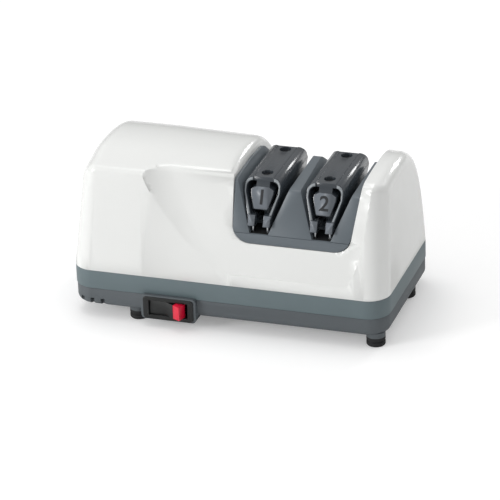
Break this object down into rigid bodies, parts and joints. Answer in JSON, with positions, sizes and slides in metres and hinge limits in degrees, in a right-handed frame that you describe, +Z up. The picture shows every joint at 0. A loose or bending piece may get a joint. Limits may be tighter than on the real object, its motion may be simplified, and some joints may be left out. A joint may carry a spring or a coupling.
{
  "type": "electric knife sharpener",
  "caption": "Bench-top electric knife sharpener with a white hood, a grey V-notched module with sprung guides, a rocker switch and a grey base on rubber feet.",
  "frame": {"origin": "under the middle of the whole outline, on the plane that the rubber feet stand on", "axes": "+X along the body from the switch end to the tower, +Y to the back, +Z up"},
  "size_m": [0.21, 0.1186, 0.112],
  "materials": {
    "white_gloss": "glossy white, moulded",
    "grey_band": "satin blue-grey, fine texture",
    "grey_base": "satin dark grey",
    "grey_module": "satin grey",
    "grey_cover": "semi-gloss dark grey",
    "black_plastic": "satin black",
    "red_plastic": "glossy red",
    "rubber": "matt black",
    "steel": "ground steel",
    "black_steel": "blackened steel",
    "laminations": "stacked sheets",
    "abrasive": "diamond grit on steel",
    "copper": "enamelled copper wire",
    "bronze": "sintered bronze",
    "magnet": "ferrite",
    "bobbin": "cream nylon"
  },
  "bodies": {
    "root": {"upper_housing": "white_gloss", "base_band": "grey_band", "lower_base": "grey_base", "filings_magnet": "magnet", "rubber_feet": "rubber", "housing_screws": "steel", "cord_gland": "black_plastic", "sharpening_module": "grey_module", "stage_cover_1": "grey_cover", "stage_cover_2": "grey_cover", "cover_screws": "black_steel", "blade_stop_pins": "steel", "motor_stator": "laminations", "motor_bobbin": "bobbin", "motor_coil": "copper", "motor_bracket_left": "steel", "motor_bracket_right": "steel", "bush_left": "bronze", "bush_right": "bronze", "motor_screws": "steel", "bearing_holder": "grey_base", "end_bearing": "bronze", "switch_bezel": "black_plastic", "switch_body": "black_plastic", "switch_terminals": "steel"},
    "rotor": {"motor_shaft": "steel", "rotor_core": "laminations", "cooling_fan": "black_plastic", "drive_collars": "steel", "disk_spring_1": "steel", "disk_spring_2": "steel"},
    "rocker": {"switch_rocker": "black_plastic", "rocker_red_end": "red_plastic"},
    "clean_out_cover": {"clean_out_cover": "grey_base"},
    "hone_disk_1_left": {"hone_disk_1_left": "abrasive"},
    "guide_arm_1_left": {"guide_arm_1_left": "grey_cover"},
    "hone_disk_1_right": {"hone_disk_1_right": "abrasive"},
    "guide_arm_1_right": {"guide_arm_1_right": "grey_cover"},
    "hone_disk_2_left": {"hone_disk_2_left": "abrasive"},
    "guide_arm_2_left": {"guide_arm_2_left": "grey_cover"},
    "hone_disk_2_right": {"hone_disk_2_right": "abrasive"},
    "guide_arm_2_right": {"guide_arm_2_right": "grey_cover"}
  },
  "joints": [
    {"name": "rotor_spin", "type": "hinge", "parent": "root", "child": "rotor", "pos_m": [0, -0.00666, 0.0515], "axis": [1, 0, 0], "continuous": true},
    {"name": "rocker_press", "type": "hinge", "parent": "root", "child": "rocker", "pos_m": [-0.0376, -0.05036, 0.0136], "axis": [0, 0, 1], "range_deg": [0, 32]},
    {"name": "clean_out_slide", "type": "slide", "parent": "root", "child": "clean_out_cover", "axis": [0, 1, 0], "range_m": [0, 0.034]},
    {"name": "disk_1_left_slide", "type": "slide", "parent": "rotor", "child": "hone_disk_1_left", "axis": [1, 0, 0], "range_m": [0, 0.001], "stiffness_N_per_m": 400, "springref_m": -0.002},
    {"name": "arm_1_left_flex", "type": "hinge", "parent": "root", "child": "guide_arm_1_left", "pos_m": [0.01595, -0.00716, 0.1017], "axis": [0, -1, 0], "range_deg": [0, 4], "stiffness_Nm_per_rad": 0.6, "springref_deg": -2.86},
    {"name": "disk_1_right_slide", "type": "slide", "parent": "rotor", "child": "hone_disk_1_right", "axis": [-1, 0, 0], "range_m": [0, 0.001], "stiffness_N_per_m": 400, "springref_m": -0.002},
    {"name": "arm_1_right_flex", "type": "hinge", "parent": "root", "child": "guide_arm_1_right", "pos_m": [0.02905, -0.00716, 0.1017], "axis": [0, 1, 0], "range_deg": [0, 4], "stiffness_Nm_per_rad": 0.6, "springref_deg": -2.86},
    {"name": "disk_2_left_slide", "type": "slide", "parent": "rotor", "child": "hone_disk_2_left", "axis": [1, 0, 0], "range_m": [0, 0.001], "stiffness_N_per_m": 400, "springref_m": -0.002},
    {"name": "arm_2_left_flex", "type": "hinge", "parent": "root", "child": "guide_arm_2_left", "pos_m": [0.05665, -0.00716, 0.1017], "axis": [0, -1, 0], "range_deg": [0, 4], "stiffness_Nm_per_rad": 0.6, "springref_deg": -2.86},
    {"name": "disk_2_right_slide", "type": "slide", "parent": "rotor", "child": "hone_disk_2_right", "axis": [-1, 0, 0], "range_m": [0, 0.001], "stiffness_N_per_m": 400, "springref_m": -0.002},
    {"name": "arm_2_right_flex", "type": "hinge", "parent": "root", "child": "guide_arm_2_right", "pos_m": [0.06975, -0.00716, 0.1017], "axis": [0, 1, 0], "range_deg": [0, 4], "stiffness_Nm_per_rad": 0.6, "springref_deg": -2.86}
  ]
}
